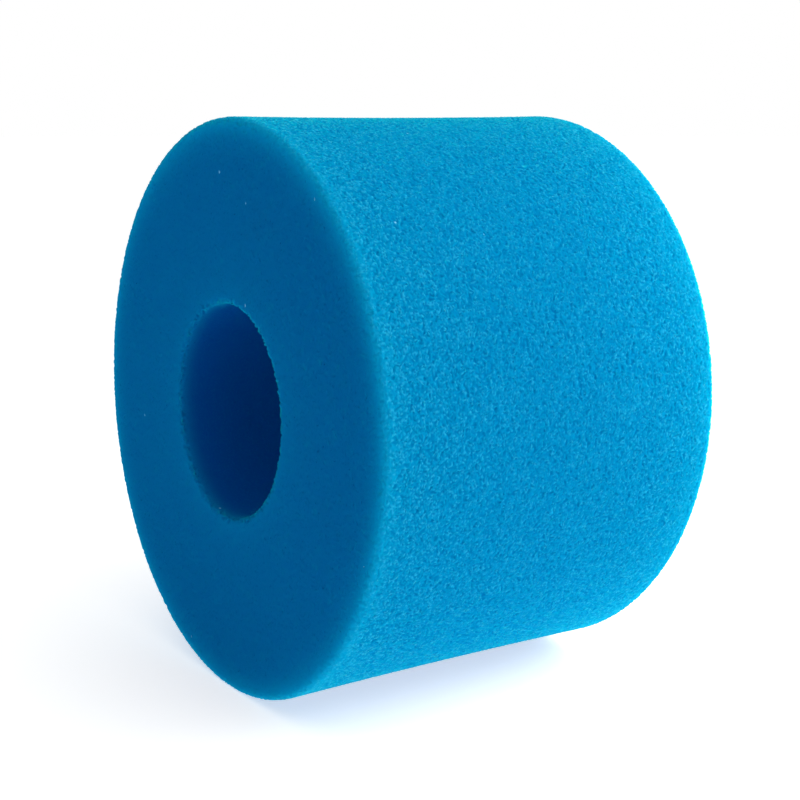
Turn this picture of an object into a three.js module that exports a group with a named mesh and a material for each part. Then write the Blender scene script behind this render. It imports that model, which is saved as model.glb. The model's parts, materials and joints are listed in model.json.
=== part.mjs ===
// Foam filter sleeve: one thick-walled cylinder of open-cell foam with a through bore,
// lying on its side. Millimetres, +Z up. The bore runs along Y, and the origin is on the
// surface that the sleeve lies on, below its middle.
import * as THREE from "three";

// Driving dimensions
const OUTER_DIAMETER = 108;
const LENGTH = 72;
const BORE_DIAMETER = 40;
const EDGE_RADIUS = 1; // soft round on the four circular edges of the cut foam
const REST_FLAT_WIDTH = 12; // strip of the round side that lies flat on the surface

// Fineness of the faceted surfaces
const SIDES_PER_CIRCLE = 120;
const EDGE_STEPS = 2;

const FOAM_MATERIAL = new THREE.MeshStandardMaterial({
  color: 0x0889bf,
  roughness: 0.95,
  metalness: 0,
});

const outerRadius = OUTER_DIAMETER / 2;
const boreRadius = BORE_DIAMETER / 2;
// The flat is a chord of the outline, so the axis lies a little lower than the outer radius.
const axisHeight = Math.sqrt(outerRadius ** 2 - (REST_FLAT_WIDTH / 2) ** 2);

// The sleeve's section: a circle closed by the chord it rests on, with the bore as a hole.
function sectionShape() {
  const flatHalfAngle = Math.asin(REST_FLAT_WIDTH / 2 / outerRadius);
  const bottom = -Math.PI / 2;
  const section = new THREE.Shape();
  section.absarc(0, 0, outerRadius, bottom + flatHalfAngle, bottom + 2 * Math.PI - flatHalfAngle);
  section.closePath();
  const bore = new THREE.Path();
  bore.absarc(0, 0, boreRadius, 0, 2 * Math.PI, true);
  section.holes.push(bore);
  return section;
}

// The foam body: the section extruded to the full length, centred on the origin along Y.
function foamSleeve() {
  const geometry = new THREE.ExtrudeGeometry(sectionShape(), {
    depth: LENGTH - 2 * EDGE_RADIUS,
    curveSegments: SIDES_PER_CIRCLE / 2, // an arc is divided into twice this number
    bevelEnabled: true,
    bevelThickness: EDGE_RADIUS,
    bevelSize: EDGE_RADIUS,
    bevelOffset: -EDGE_RADIUS,
    bevelSegments: EDGE_STEPS,
  });
  geometry.translate(0, 0, EDGE_RADIUS - LENGTH / 2);
  geometry.rotateX(Math.PI / 2);
  const mesh = new THREE.Mesh(geometry, FOAM_MATERIAL);
  mesh.name = "foam_sleeve";
  mesh.position.z = axisHeight;
  return mesh;
}

const sleeve = new THREE.Group();
sleeve.add(foamSleeve());

export default sleeve;
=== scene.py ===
"""Looks of the foam filter sleeve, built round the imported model.

The sleeve is cut from blue open-cell foam, so its whole skin is cut cells: thin struts round small pits.
The skin is one closed mesh. Seeds, one for each cell, are spread over the sleeve's smooth shape and joined
into triangles. A cell's corners lie in the middles of the triangles round its seed, and its floor is sunk
under the seed itself.
"""

import json
import math

import bmesh
import bpy
import numpy as np
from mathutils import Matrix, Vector


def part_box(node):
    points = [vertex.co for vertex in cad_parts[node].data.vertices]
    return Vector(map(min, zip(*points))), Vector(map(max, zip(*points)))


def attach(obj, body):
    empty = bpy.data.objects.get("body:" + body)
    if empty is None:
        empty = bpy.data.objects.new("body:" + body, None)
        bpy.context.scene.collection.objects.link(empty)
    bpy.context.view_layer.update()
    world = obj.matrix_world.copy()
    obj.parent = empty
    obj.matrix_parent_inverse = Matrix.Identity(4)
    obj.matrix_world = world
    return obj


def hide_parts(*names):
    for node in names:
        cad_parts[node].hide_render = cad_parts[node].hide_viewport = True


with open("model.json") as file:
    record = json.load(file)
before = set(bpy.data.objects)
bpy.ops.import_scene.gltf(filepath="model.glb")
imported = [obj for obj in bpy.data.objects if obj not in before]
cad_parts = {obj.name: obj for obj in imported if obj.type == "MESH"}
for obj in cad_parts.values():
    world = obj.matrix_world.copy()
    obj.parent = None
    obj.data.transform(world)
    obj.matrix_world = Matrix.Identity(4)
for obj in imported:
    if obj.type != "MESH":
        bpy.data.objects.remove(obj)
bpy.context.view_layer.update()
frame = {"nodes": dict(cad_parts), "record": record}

MM = 0.001
SLEEVE = "foam_sleeve"
BODY = "root"
RANDOM_SEED = 7

# The camera, which aims a little beside and below the middle of the sleeve. Azimuth 0 looks along +Y,
# and azimuth 90 along -X.
CAMERA_AZIMUTH = 56.4
CAMERA_ELEVATION = 10.7
CAMERA_DISTANCE = 299.6 * MM
AIM_RIGHT = 2.3 * MM
AIM_DOWN = 1.6 * MM
LENS = 67.7  # mm, on a sensor of the width below
SENSOR_WIDTH = 36

# The cut shape
EDGE_RADIUS = 1.3 * MM
BORE_EDGE_RADIUS = 0.4 * MM
WAIST = 0.3 * MM  # the round side's radius is this much smaller at mid-length
FRONT_LEAN = 0.023  # slopes of the two ends, which aren't quite square to the axis
BACK_LEAN = 0.037
SIDE_POINTS = 60  # on the outline, along the round side
ARC_POINTS = 12  # on the outline, round each edge
NORMAL_REACH = 0.4 * MM  # the outline's direction is taken between points this far to each side

# The foam's cells. The floors of the pits and the torn struts are sunk by shares of PIT_DEPTH, drawn at
# random between two limits.
CELL = 0.56 * MM
SEED_SPREAD = 0.45  # how far a seed strays from its place in the row, as a share of the spacing
PIT_DEPTH = 0.25 * MM
FLOOR_DEPTHS = (0.5, 1.3)
TORN_DEPTHS = (0.4, 1)
TORN_STRUTS = 0.2  # share of the places where struts meet that are torn away
STRUT_RAGGEDNESS = 0.07 * MM  # the spread of how far each such place is sunk, torn or not
GLINT_POWER = 3  # the higher, the fewer the struts that get a painted glint
FLECKS = 40  # cells over the whole sleeve that hold a pale speck

# How rough the cells are, against those of the round side
SIDE_ROUGHNESS = 1
INSIDE_ROUGHNESS = 0.6  # on the ends and in the bore
BORE_EDGE_ROUGHNESS = 2  # within BORE_EDGE_WIDTH of the bore's edge, where the foam tears
BORE_EDGE_WIDTH = 0.75 * MM

# The zones of painted light and shade in the colour
FRONT_EDGE_REACH = 1.3 * MM  # the painted glow of light shining through an outer edge fades over this along the round side
# at the back end the painted glow reaches further, as light from behind shines through there
BACK_EDGE_REACH = 2.4 * MM
END_EDGE_REACH = 2 * MM  # and over this, in along the end
HALO_REACH = 4.5 * MM  # the faint lighter band round the bore, added to the painted edge glow, fades over this
HALO_SHARE = 0.13  # its strength at the bore, as a share of the edges'
END_FADE = 1.5 * MM  # width over which the painted shade of the ends takes over from the colour of the round side
BORE_FADE = 1 * MM  # width over which the darker painted shade of the bore's wall takes over from that of the ends
BORE_LIT_REACH = 2.2 * MM  # how far into the bore the colour of the ends still shows, before the painted shade of the bore

# Base colours, linear
# The pit colour, darker than that of the struts, is painted shade, mixed in by the depth of the pits
SHADED_PIT = (0.0, 0.194, 0.43)
STRUT = (0.0005, 0.24, 0.485)
# painted glint on the struts
GLINT = (0.018, 0.37, 0.64)
# painted glow of light shining through the thin cut edges of the round side
PAINTED_EDGE_GLOW = (0.002, 0.34, 0.6)
# the ends' colours are painted darker, as painted shade on the ends and in the bore
SHADED_END_PIT = (0.0005, 0.103, 0.34)
SHADED_END_STRUT = (0.0005, 0.121, 0.363)
# painted glow of light shining through the cut edges of the ends
PAINTED_END_EDGE_GLOW = (0.0005, 0.37, 0.74)
# painted shade deep in the bore
PAINTED_BORE_SHADE = (0.0, 0.063, 0.31)
SPECK = (0.2, 0.55, 0.85)

# The foam's surface, and how light spreads inside it
FOAM_ROUGHNESS = 0.9
FOAM_SPECULAR = 0
SCATTER_SHARE = 0.6
SCATTER_BY_COLOUR = (0.3, 0.8, 1.0)
SCATTER_LENGTH = 1.5 * MM

MAP_MARGIN = 0.01  # left empty round the map, as a share of its side

# The floor and what the camera sees behind it
FLOOR_RADIUS = 8  # metres
FLOOR_SIDES = 96
FLOOR_COLOUR = 0.9
FLOOR_ROUGHNESS = 0.9
FLOOR_GLOW = 0.52
BACKDROP = 1.0

# The sky's strength, which rises from dim to bright towards one direction. The cosines are those of the
# angles from there at which it has reached its dimmest and its brightest.
SKY_AZIMUTH = 150
SKY_ELEVATION = 20
SKY_DIM = 0.03
SKY_DIM_COSINE = -0.75
SKY_BRIGHT = 0.92
SKY_BRIGHT_COSINE = 0.85

# Colours of the lights
WHITE = (1, 1, 1)
WARM_WHITE = (1, 1, 0.9)
YELLOW_WHITE = (1, 1, 0.8)


def sleeve_measures():
    """Outer radius, bore radius, half length and height of the axis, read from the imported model. The
    mounts of its end faces are as high as the axis."""
    low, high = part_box(SLEEVE)
    outer = (high.x - low.x) / 2
    mounts = {mount["name"]: mount for mount in frame["record"]["mounts"]}
    axis_height = mounts["front_end_face"]["pos_m"][2]
    points = np.array([v.co for v in frame["nodes"][SLEEVE].data.vertices])
    radii = np.hypot(points[:, 0], points[:, 2] - axis_height)
    return outer, radii.min(), (high.y - low.y) / 2, axis_height


OUTER, BORE, HALF_LENGTH, AXIS_HEIGHT = sleeve_measures()


def direction(azimuth, elevation):
    """From the sleeve towards an azimuth and elevation in degrees, by the camera's angles."""
    a, e = math.radians(azimuth), math.radians(elevation)
    return Vector((math.sin(a) * math.cos(e), -math.cos(a) * math.cos(e), math.sin(e)))


def make_camera():
    back = direction(CAMERA_AZIMUTH, CAMERA_ELEVATION)
    right = direction(CAMERA_AZIMUTH + 90, 0)
    up = back.cross(right)
    data = bpy.data.cameras.new("camera")
    data.lens = LENS
    data.sensor_width = SENSOR_WIDTH
    camera = bpy.data.objects.new("camera", data)
    middle = Vector((0, 0, AXIS_HEIGHT))
    camera.location = middle + right * AIM_RIGHT - up * AIM_DOWN + back * CAMERA_DISTANCE
    camera.rotation_euler = (-back).to_track_quat("-Z", "Y").to_euler()
    bpy.context.scene.collection.objects.link(camera)
    bpy.context.scene.camera = camera


def arc(centre_r, centre_y, radius, start, end):
    """Points (r, y) of an arc, by angle in degrees from +r towards +y."""
    angles = np.radians(np.linspace(start, end, ARC_POINTS))
    return np.stack([centre_r + radius * np.cos(angles), centre_y + radius * np.sin(angles)], 1)


def outline_points():
    """The closed outline of the sleeve's wall, as points (r, y), from the front of the round side
    to its back, in along the back face, through the bore and out along the front face."""
    straight = HALF_LENGTH - EDGE_RADIUS
    y = np.linspace(-straight, straight, SIDE_POINTS)
    side = np.stack([OUTER - WAIST * (1 - (y / straight) ** 2), y], 1)
    back_rim = arc(OUTER - EDGE_RADIUS, straight, EDGE_RADIUS, 0, 90)
    bore_end = HALF_LENGTH - BORE_EDGE_RADIUS
    back_bore_rim = arc(BORE + BORE_EDGE_RADIUS, bore_end, BORE_EDGE_RADIUS, 90, 180)
    front_bore_rim = arc(BORE + BORE_EDGE_RADIUS, -bore_end, BORE_EDGE_RADIUS, 180, 270)
    front_rim = arc(OUTER - EDGE_RADIUS, -straight, EDGE_RADIUS, -90, 0)
    points = np.concatenate([side, back_rim, back_bore_rim, front_bore_rim, front_rim])
    steps = np.linalg.norm(np.diff(points, axis=0, append=points[:1]), axis=1)
    return points[steps > 0]


class Outline:
    """The outline as a function of the distance along it."""

    def __init__(self):
        points = outline_points()
        self.points = np.concatenate([points, points[:1]])
        steps = np.linalg.norm(np.diff(self.points, axis=0), axis=1)
        self.at = np.concatenate([[0], np.cumsum(steps)])
        self.length = self.at[-1]

    def __call__(self, distance):
        """The points' r and y."""
        distance = np.mod(distance, self.length)
        r = np.interp(distance, self.at, self.points[:, 0])
        y = np.interp(distance, self.at, self.points[:, 1])
        return r, y

    def normal(self, distance):
        """The outward normals' r and y."""
        r0, y0 = self(distance - NORMAL_REACH)
        r1, y1 = self(distance + NORMAL_REACH)
        along = np.stack([r1 - r0, y1 - y0], 1)
        along /= np.linalg.norm(along, axis=1, keepdims=True)
        return along[:, 1], -along[:, 0]


def seeds(outline, random):
    """Rows of seeds round the sleeve, one row for each step along the outline: each seed's turn, from
    0 to 1 round the axis, its distance along the outline, and where each row starts."""
    rows = 2 * round(outline.length / (CELL * math.sqrt(3) / 2) / 2)
    step = outline.length / rows
    turns, distances, starts = [], [], [0]
    for row in range(rows):
        r, _ = outline(np.array([row * step]))
        count = round(2 * math.pi * r[0] / CELL)
        strays = random.uniform(-SEED_SPREAD, SEED_SPREAD, (count, 2))
        phase = random.uniform(0, 1)
        turns.append(np.mod((np.arange(count) + phase + strays[:, 0]) / count, 1))
        distances.append((row + strays[:, 1]) * step)
        starts.append(starts[-1] + count)
    return np.concatenate(turns), np.concatenate(distances), starts


def zip_rows(turns, starts):
    """Triangles between each row and the next, by going round both in order of turn."""
    triangles = []
    rows = len(starts) - 1
    for row in range(rows):
        after = (row + 1) % rows
        a = np.arange(starts[row], starts[row + 1])
        b = np.arange(starts[after], starts[after + 1])
        a, b = a[np.argsort(turns[a])], b[np.argsort(turns[b])]
        order = np.argsort(np.concatenate([turns[a], turns[b]]), kind="stable")
        from_a = order < len(a)
        a_seen, b_seen = np.cumsum(from_a), np.cumsum(~from_a)
        a_now, b_now = a[(a_seen - 1) % len(a)], b[(b_seen - 1) % len(b)]
        a_before, b_before = a[(a_seen - 2) % len(a)], b[(b_seen - 2) % len(b)]
        triangles.append(np.stack([a_before, b_now, a_now], 1)[from_a])
        triangles.append(np.stack([a_now, b_before, b_now], 1)[~from_a])
    return np.concatenate(triangles)


def on_sleeve(outline, turns, distances):
    """Points and outward normals on the smooth sleeve, before its ends are given their lean."""
    r, y = outline(distances)
    normal_r, normal_y = outline.normal(distances)
    cos, sin = np.cos(turns * 2 * math.pi), np.sin(turns * 2 * math.pi)
    points = np.stack([r * cos, y, r * sin + AXIS_HEIGHT], 1)
    normals = np.stack([normal_r * cos, normal_y, normal_r * sin], 1)
    return points, normals


def relaxed(points, triangles):
    """Triangles between the same points, with their shared edges turned where that makes them less thin."""
    mesh = bpy.data.meshes.new("seeds")
    mesh.from_pydata(points.tolist(), [], triangles.tolist())
    work = bmesh.new()
    work.from_mesh(mesh)
    bmesh.ops.beautify_fill(work, faces=work.faces[:], edges=work.edges[:], method="ANGLE")
    work.to_mesh(mesh)
    work.free()
    turned = np.empty(len(mesh.polygons) * 3, np.int32)
    mesh.polygons.foreach_get("vertices", turned)
    bpy.data.meshes.remove(mesh)
    return turned.reshape(-1, 3)


def shared_edges(triangles):
    """Each edge once, as its two seeds and the triangles on its left and its right."""
    starts = triangles.ravel()
    ends = np.roll(triangles, -1, axis=1).ravel()
    low, high = np.minimum(starts, ends), np.maximum(starts, ends)
    order = np.lexsort((starts > ends, high, low))
    left, right = order[0::2], order[1::2]
    return starts[left], ends[left], left // 3, right // 3


def cylinder_place(points):
    """Each point's distance from the axis, and how far it is inside the nearer end."""
    radius = np.hypot(points[:, 0], points[:, 2] - AXIS_HEIGHT)
    return radius, HALF_LENGTH - np.abs(points[:, 1])


def roughness_at(points):
    """How rough the cells are at each point."""
    radius, from_end = cylinder_place(points)
    roughness = np.where(radius < OUTER - END_FADE, INSIDE_ROUGHNESS, SIDE_ROUGHNESS)
    at_bore_edge = np.hypot(radius - BORE, from_end) < BORE_EDGE_WIDTH
    return np.where(at_bore_edge, BORE_EDGE_ROUGHNESS, roughness)


def strut_corners(roughness, random):
    """For each place where struts meet, how far it is sunk and how much painted glint it gets, from 0 to 1.
    """
    count = len(roughness)
    glint = random.uniform(0, 1, count) ** GLINT_POWER
    torn = random.uniform(0, 1, count) < TORN_STRUTS * roughness
    depth = np.abs(random.normal(0, STRUT_RAGGEDNESS, count))
    depth += torn * PIT_DEPTH * random.uniform(*TORN_DEPTHS, count)
    return depth * roughness, glint * ~torn


def cell_skin(points, normals, triangles, random):
    """The skin of cut cells as vertices and triangles, corners first and then floors, with how deep each
    vertex is sunk, as a share of PIT_DEPTH, and how much painted glint it gets, from 0 to 1."""
    roughness = roughness_at(points)
    corner_normals = normals[triangles].mean(axis=1)
    corner_normals /= np.linalg.norm(corner_normals, axis=1, keepdims=True)
    corner_depth, corner_glint = strut_corners(roughness[triangles[:, 0]], random)
    floor_depth = PIT_DEPTH * random.uniform(*FLOOR_DEPTHS, len(points)) * roughness
    corners = points[triangles].mean(axis=1) - corner_normals * corner_depth[:, None]
    floors = points - normals * floor_depth[:, None]
    start, end, left, right = shared_edges(triangles)
    faces = np.concatenate(
        [
            np.stack([right, left, len(corners) + start], 1),
            np.stack([left, right, len(corners) + end], 1),
        ]
    )
    depth = np.concatenate([corner_depth, floor_depth]) / PIT_DEPTH
    glint = np.concatenate([corner_glint, np.zeros(len(floors))])
    return np.concatenate([corners, floors]), faces, depth, glint


def lean(points):
    """The same points with the two ends leaning, and nothing below the floor."""
    leant = points.copy()
    share = (points[:, 1] / HALF_LENGTH + 1) / 2
    leant[:, 1] += (points[:, 2] - AXIS_HEIGHT) * (FRONT_LEAN + (BACK_LEAN - FRONT_LEAN) * share)
    leant[:, 2] = np.maximum(points[:, 2], 0)
    return leant


def zones(vertices):
    """For each vertex, all from 0 to 1: how near it is to a cut edge, for the painted glow of light through
    the edges; whether it is on an end or in the bore, for their painted shade; and whether it is deep in
    the bore, for the deeper painted shade there. The pits of the round side count as a little inside, too,
    so they get a little of the painted shade."""
    radius, from_end = cylinder_place(vertices)
    reach = np.where(vertices[:, 1] < 0, FRONT_EDGE_REACH, BACK_EDGE_REACH)
    edge = np.exp(-np.hypot((OUTER - radius) / END_EDGE_REACH, from_end / reach))
    edge += HALO_SHARE * np.exp(-np.abs(radius - BORE) / HALO_REACH)
    inside = np.clip((OUTER - radius) / END_FADE, 0, 1)
    bore = np.clip(1 - (radius - BORE) / BORE_FADE, 0, 1)
    bore *= 1 - np.exp(-((from_end / BORE_LIT_REACH) ** 2))
    return edge, inside, bore


def add_mesh(name, vertices, faces):
    mesh = bpy.data.meshes.new(name)
    mesh.vertices.add(len(vertices))
    mesh.vertices.foreach_set("co", vertices.astype(np.float32).ravel())
    mesh.loops.add(faces.size)
    mesh.loops.foreach_set("vertex_index", faces.astype(np.int32).ravel())
    mesh.polygons.add(len(faces))
    mesh.polygons.foreach_set("loop_start", np.arange(0, faces.size, 3, dtype=np.int32))
    mesh.polygons.foreach_set("use_smooth", np.ones(len(faces), bool))
    mesh.update(calc_edges=True)
    mesh.validate()
    return mesh


def add_values(mesh, name, values):
    layer = mesh.attributes.new(name, "FLOAT", "POINT")
    layer.data.foreach_set("value", values.astype(np.float32))


def rewound(shares):
    """Each row of shares of a turn, with those past the start of the turn counted on from its end."""
    return shares + (shares.max(axis=1, keepdims=True) - shares > 0.5)


def add_unwrap(mesh, vertices, faces, outline, distances, triangles):
    """The map that the export bakes to, which it finds by its name: the turn round the axis across,
    A map named OFBake: the turn round the axis across, and the distance along the outline up."""
    turn = np.mod(np.arctan2(vertices[:, 2] - AXIS_HEIGHT, vertices[:, 0]) / (2 * math.pi), 1)
    seeds_along = np.mod(distances / outline.length, 1)
    corners_along = rewound(seeds_along[triangles]).mean(axis=1)
    along = np.concatenate([corners_along, seeds_along])
    place_on_map = np.stack([rewound(turn[faces]), rewound(along[faces])], 2)
    place_on_map = MAP_MARGIN + (1 - 2 * MAP_MARGIN) * place_on_map
    layer = mesh.uv_layers.new(name="OFBake")
    layer.uv.foreach_set("vector", place_on_map.astype(np.float32).ravel())


def make_foam():
    random = np.random.default_rng(RANDOM_SEED)
    outline = Outline()
    turns, distances, starts = seeds(outline, random)
    points, normals = on_sleeve(outline, turns, distances)
    triangles = relaxed(points, zip_rows(turns, starts))
    vertices, faces, depth, glint = cell_skin(points, normals, triangles, random)
    mesh = add_mesh("foam", lean(vertices), faces)
    edge, inside, bore = zones(vertices)
    speck = np.zeros(len(vertices))
    speck[random.integers(len(triangles), len(vertices), FLECKS)] = 1
    # The painted glint is left off where the painted shade of the ends lies.
    layers = dict(depth=depth, glint=glint * (1 - inside), edge=edge, inside=inside, bore=bore, speck=speck)
    for name, values in layers.items():
        add_values(mesh, name, values)
    add_unwrap(mesh, vertices, faces, outline, distances, triangles)
    mesh.materials.append(foam_material())
    foam = bpy.data.objects.new("foam_skin", mesh)
    bpy.context.scene.collection.objects.link(foam)
    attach(foam, BODY)
    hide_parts(SLEEVE)


def attribute(tree, name):
    made = tree.nodes.new("ShaderNodeAttribute")
    made.attribute_name = name
    return made.outputs["Fac"]


def ramp(tree, factor, first, last):
    made = tree.nodes.new("ShaderNodeValToRGB")
    elements = made.color_ramp.elements
    elements[0].color = (*first, 1)
    elements[1].color = (*last, 1)
    tree.links.new(factor, made.inputs["Fac"])
    return made.outputs["Color"]


def towards(tree, name, colour, target):
    """The colour mixed towards a target, a colour or a socket, by the attribute of that name. The mixing
    node's sockets are taken by number, because its sockets for numbers, vectors and colours share names."""
    made = tree.nodes.new("ShaderNodeMix")
    made.data_type = "RGBA"
    factor, a, b = made.inputs[0], made.inputs[6], made.inputs[7]
    tree.links.new(attribute(tree, name), factor)
    tree.links.new(colour, a)
    if isinstance(target, tuple):
        b.default_value = (*target, 1)
    else:
        tree.links.new(target, b)
    return made.outputs[2]


def foam_material():
    material = bpy.data.materials.new("blue_foam")
    material.use_nodes = True
    tree = material.node_tree
    surface = tree.nodes["Principled BSDF"]
    # The depth paints the deeper pits darker, as painted shade.
    depth = attribute(tree, "depth")
    # Painted glow of light through the cut edges.
    side = towards(tree, "edge", ramp(tree, depth, STRUT, SHADED_PIT), PAINTED_EDGE_GLOW)
    # Painted glint on the struts.
    side = towards(tree, "glint", side, GLINT)
    # The ends and the bore: darker colours, as painted shade.
    end = towards(tree, "edge", ramp(tree, depth, SHADED_END_STRUT, SHADED_END_PIT), PAINTED_END_EDGE_GLOW)
    colour = towards(tree, "inside", side, end)
    # Deep in the bore, darker again, as painted shade.
    colour = towards(tree, "bore", colour, PAINTED_BORE_SHADE)
    colour = towards(tree, "speck", colour, SPECK)
    tree.links.new(colour, surface.inputs["Base Color"])
    surface.inputs["Roughness"].default_value = FOAM_ROUGHNESS
    surface.inputs["Specular IOR Level"].default_value = FOAM_SPECULAR
    surface.inputs["Subsurface Weight"].default_value = SCATTER_SHARE
    surface.inputs["Subsurface Radius"].default_value = SCATTER_BY_COLOUR
    surface.inputs["Subsurface Scale"].default_value = SCATTER_LENGTH
    return material


def make_floor():
    """A pale floor that glows a little, as a light table does."""
    material = bpy.data.materials.new("floor")
    material.use_nodes = True
    surface = material.node_tree.nodes["Principled BSDF"]
    surface.inputs["Base Color"].default_value = (FLOOR_COLOUR, FLOOR_COLOUR, FLOOR_COLOUR, 1)
    surface.inputs["Roughness"].default_value = FLOOR_ROUGHNESS
    surface.inputs["Emission Color"].default_value = (*WHITE, 1)
    surface.inputs["Emission Strength"].default_value = FLOOR_GLOW
    bpy.ops.mesh.primitive_circle_add(vertices=FLOOR_SIDES, radius=FLOOR_RADIUS, fill_type="NGON")
    floor = bpy.context.object
    floor.name = "floor"
    floor.data.materials.append(material)


def sky_strength(tree):
    """How bright the sky is in each direction."""
    coordinates = tree.nodes.new("ShaderNodeTexCoord")
    cosine = tree.nodes.new("ShaderNodeVectorMath")
    cosine.operation = "DOT_PRODUCT"
    cosine.inputs[1].default_value = direction(SKY_AZIMUTH, SKY_ELEVATION)
    tree.links.new(coordinates.outputs["Generated"], cosine.inputs[0])
    level = tree.nodes.new("ShaderNodeMapRange")
    level.interpolation_type = "SMOOTHSTEP"
    level.inputs["From Min"].default_value = SKY_DIM_COSINE
    level.inputs["From Max"].default_value = SKY_BRIGHT_COSINE
    level.inputs["To Min"].default_value = SKY_DIM
    level.inputs["To Max"].default_value = SKY_BRIGHT
    tree.links.new(cosine.outputs["Value"], level.inputs["Value"])
    return level.outputs["Result"]


def make_world():
    """A soft sky, brightest low behind the sleeve on its +X side, and dim on the side that the front face
    looks at. The camera sees a plain pale backdrop in its place."""
    world = bpy.data.worlds.new("studio")
    world.use_nodes = True
    tree = world.node_tree
    sky = tree.nodes["Background"]
    sky.inputs["Color"].default_value = (*WHITE, 1)
    tree.links.new(sky_strength(tree), sky.inputs["Strength"])
    backdrop = tree.nodes.new("ShaderNodeBackground")
    backdrop.inputs["Color"].default_value = (BACKDROP, BACKDROP, BACKDROP, 1)
    seen = tree.nodes.new("ShaderNodeLightPath")
    mix = tree.nodes.new("ShaderNodeMixShader")
    tree.links.new(seen.outputs["Is Camera Ray"], mix.inputs["Fac"])
    tree.links.new(sky.outputs[0], mix.inputs[1])
    tree.links.new(backdrop.outputs[0], mix.inputs[2])
    tree.links.new(mix.outputs[0], tree.nodes["World Output"].inputs["Surface"])
    bpy.context.scene.world = world


def softbox(name, azimuth, elevation, distance, side, power, colour):
    """A square soft light that faces the sleeve. Its azimuth and elevation are measured as the camera's
    are, its distance and side are in metres, and its power is in watts."""
    towards_light = direction(azimuth, elevation)
    data = bpy.data.lights.new(name, "AREA")
    data.shape = "SQUARE"
    data.size = side
    data.energy = power
    data.color = colour
    light = bpy.data.objects.new(name, data)
    light.location = Vector((0, 0, AXIS_HEIGHT)) + towards_light * distance
    light.rotation_euler = towards_light.to_track_quat("Z", "Y").to_euler()
    light.visible_camera = False
    bpy.context.scene.collection.objects.link(light)


def make_lights():
    softbox("right", azimuth=112, elevation=46, distance=0.38, side=0.25, power=0.49, colour=WARM_WHITE)
    softbox("front", azimuth=10, elevation=55, distance=0.4, side=0.3, power=0.2, colour=WARM_WHITE)
    softbox("back_rim", azimuth=148, elevation=14, distance=0.15, side=0.12, power=0.2, colour=YELLOW_WHITE)


make_camera()
make_foam()
make_floor()
make_world()
make_lights()
bpy.context.scene.view_settings.view_transform = "Standard"
